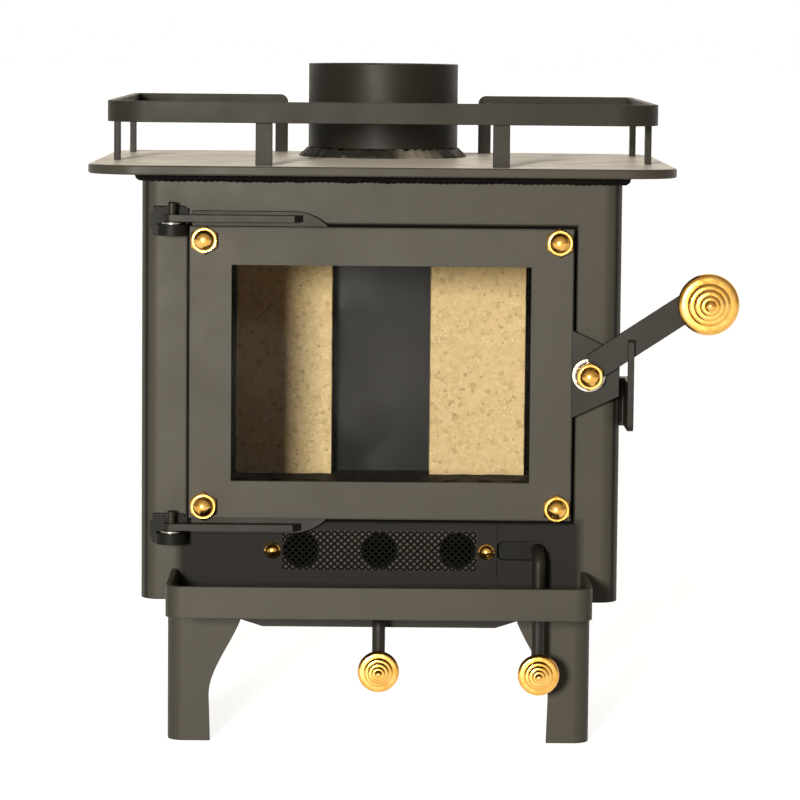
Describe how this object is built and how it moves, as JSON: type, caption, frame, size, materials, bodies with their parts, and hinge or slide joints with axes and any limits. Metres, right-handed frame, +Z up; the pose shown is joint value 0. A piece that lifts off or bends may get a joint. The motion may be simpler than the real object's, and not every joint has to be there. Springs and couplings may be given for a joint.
{
  "type": "wood burning stove",
  "caption": "Small free-standing steel wood burning stove with a glazed side-hung door, lift latch, two air slides, a railed cooking top and a round flue collar.",
  "frame": {"origin": "centre of the whole stove's box at floor level", "axes": "+Z up along the flue collar, -Y towards the front with the door, +X to the right seen from the front, on the handle's side"},
  "size_m": [0.3088, 0.267, 0.324],
  "materials": {
    "body_paint": "satin high-temperature paint",
    "plate_paint": "satin high-temperature paint, slightly glossier",
    "dark_paint": "satin black high-temperature paint",
    "inner_steel": "heat-darkened mild steel",
    "cast_grate": "rough cast iron",
    "mesh_steel": "expanded steel mesh, black",
    "bare_steel": "turned bare steel",
    "brass": "polished brass",
    "firebrick": "pressed vermiculite board with gold flecks",
    "window_glass": "clear heat-proof glass",
    "rope_seal": "braided glass-fibre rope"
  },
  "bodies": {
    "stove": {"top_plate": "plate_paint", "top_seam": "dark_paint", "body_shell": "body_paint", "back_panel": "body_paint", "base_plate": "inner_steel", "flue_collar": "dark_paint", "flue_foot": "dark_paint", "rail_front": "body_paint", "rail_rear_left": "body_paint", "rail_rear_right": "body_paint", "rail_posts": "body_paint", "ash_shelf": "body_paint", "ash_lip": "body_paint", "leg_front_left": "body_paint", "leg_front_right": "body_paint", "leg_rear_left": "body_paint", "leg_rear_right": "body_paint", "air_cover_plate": "body_paint", "air_screen": "mesh_steel", "air_screen_nuts": "brass", "air_slide_guides": "inner_steel", "under_pan": "dark_paint", "primary_guides": "inner_steel", "hinge_bracket_upper": "dark_paint", "hinge_bracket_lower": "dark_paint", "hinge_pins": "dark_paint", "hinge_washers": "bare_steel", "latch_keeper": "dark_paint", "brick_rear_left": "firebrick", "brick_rear_right": "firebrick", "brick_side_left": "firebrick", "brick_side_right": "firebrick", "brick_retainers": "inner_steel", "fire_grate": "cast_grate", "baffle_plate": "firebrick", "firebox_ledges": "inner_steel"},
    "door": {"door_frame": "body_paint", "door_panel": "inner_steel", "door_glass": "window_glass", "glass_gasket": "rope_seal", "glass_retainer": "inner_steel", "door_gasket": "rope_seal", "door_studs": "bare_steel", "door_nuts": "brass", "hinge_strap_upper": "dark_paint", "hinge_strap_lower": "dark_paint", "hinge_gussets": "dark_paint", "latch_bracket": "dark_paint", "latch_pivot_stud": "bare_steel", "latch_pivot_nut": "brass", "latch_washer": "bare_steel"},
    "handle": {"handle_arm": "dark_paint", "handle_knob": "brass", "handle_knob_screw": "bare_steel"},
    "air_control": {"air_slide": "inner_steel", "air_rod": "dark_paint", "air_knob": "brass"},
    "primary_control": {"primary_slide": "inner_steel", "primary_rod": "dark_paint", "primary_knob": "brass"}
  },
  "joints": [
    {"name": "door_hinge", "type": "hinge", "parent": "stove", "child": "door", "pos_m": [-0.1137, -0.0835, 0.1785], "axis": [0, 0, -1], "range_deg": [0, 120]},
    {"name": "handle_lift", "type": "hinge", "parent": "door", "child": "handle", "pos_m": [0.0843, -0.0863, 0.179], "axis": [0, -1, 0], "range_deg": [0, 45]},
    {"name": "air_slide", "type": "slide", "parent": "stove", "child": "air_control", "axis": [-1, 0, 0], "range_m": [0, 0.016]},
    {"name": "primary_air", "type": "slide", "parent": "stove", "child": "primary_control", "axis": [0, -1, 0], "range_m": [0, 0.025]}
  ]
}
